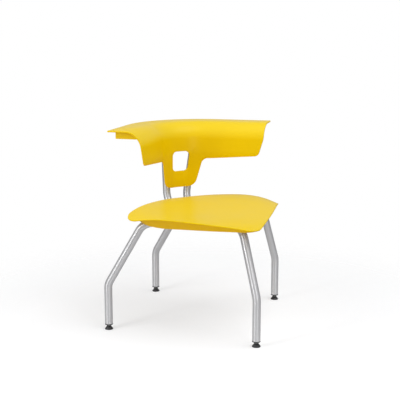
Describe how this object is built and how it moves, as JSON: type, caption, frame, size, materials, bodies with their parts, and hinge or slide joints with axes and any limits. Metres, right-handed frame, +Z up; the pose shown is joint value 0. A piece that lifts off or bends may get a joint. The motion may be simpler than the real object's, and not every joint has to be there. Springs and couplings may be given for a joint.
{
  "type": "classroom chair",
  "caption": "Classroom chair with a diamond-shaped moulded seat, a winged back with a hand hole and ledge, bent tube legs and swivelling glides.",
  "frame": {"origin": "on the floor, midway between the front and rear feet", "axes": "+X to the sitter's left as seen from the front (image right), +Y to the back of the chair, +Z up"},
  "size_m": [0.681, 0.709, 0.648],
  "materials": {
    "yellow_plastic": "fine matte grain",
    "steel_tube": "satin silver powder coat",
    "zinc_steel": "zinc plated",
    "black_plastic": "matte"
  },
  "bodies": {
    "frame": {"seat_shell": "yellow_plastic", "back_shell": "yellow_plastic", "front_leg": "steel_tube", "rear_leg": "steel_tube", "left_leg": "steel_tube", "right_leg": "steel_tube", "left_upright": "steel_tube", "right_upright": "steel_tube", "hub_plate": "steel_tube", "rear_plate": "steel_tube", "seat_screws": "zinc_steel", "back_screws": "zinc_steel", "left_upright_plug": "black_plastic", "right_upright_plug": "black_plastic", "left_rail_plug": "black_plastic", "right_rail_plug": "black_plastic", "front_glide_sleeve": "black_plastic", "rear_glide_sleeve": "black_plastic", "left_glide_sleeve": "black_plastic", "right_glide_sleeve": "black_plastic"},
    "front_glide_swivel": {"front_glide_stem": "zinc_steel"},
    "front_glide_base": {"front_glide_cap": "black_plastic", "front_glide_pad": "black_plastic"},
    "rear_glide_swivel": {"rear_glide_stem": "zinc_steel"},
    "rear_glide_base": {"rear_glide_cap": "black_plastic", "rear_glide_pad": "black_plastic"},
    "left_glide_swivel": {"left_glide_stem": "zinc_steel"},
    "left_glide_base": {"left_glide_cap": "black_plastic", "left_glide_pad": "black_plastic"},
    "right_glide_swivel": {"right_glide_stem": "zinc_steel"},
    "right_glide_base": {"right_glide_cap": "black_plastic", "right_glide_pad": "black_plastic"}
  },
  "joints": [
    {"name": "front_glide_spin", "type": "hinge", "parent": "frame", "child": "front_glide_swivel", "pos_m": [0, -0.341, 0.018], "axis": [0, 0, 1], "continuous": true},
    {"name": "front_glide_tilt", "type": "hinge", "parent": "front_glide_swivel", "child": "front_glide_base", "pos_m": [0, -0.341, 0.0076], "axis": [1, 0, 0], "range_deg": [-8, 8]},
    {"name": "rear_glide_spin", "type": "hinge", "parent": "frame", "child": "rear_glide_swivel", "pos_m": [0, 0.341, 0.018], "axis": [0, 0, 1], "continuous": true},
    {"name": "rear_glide_tilt", "type": "hinge", "parent": "rear_glide_swivel", "child": "rear_glide_base", "pos_m": [0, 0.341, 0.0076], "axis": [1, 0, 0], "range_deg": [-8, 8]},
    {"name": "left_glide_spin", "type": "hinge", "parent": "frame", "child": "left_glide_swivel", "pos_m": [-0.327, 0.037, 0.018], "axis": [0, 0, 1], "continuous": true},
    {"name": "left_glide_tilt", "type": "hinge", "parent": "left_glide_swivel", "child": "left_glide_base", "pos_m": [-0.327, 0.037, 0.0076], "axis": [0, 1, 0], "range_deg": [-8, 8]},
    {"name": "right_glide_spin", "type": "hinge", "parent": "frame", "child": "right_glide_swivel", "pos_m": [0.327, 0.037, 0.018], "axis": [0, 0, 1], "continuous": true},
    {"name": "right_glide_tilt", "type": "hinge", "parent": "right_glide_swivel", "child": "right_glide_base", "pos_m": [0.327, 0.037, 0.0076], "axis": [0, 1, 0], "range_deg": [-8, 8]}
  ]
}
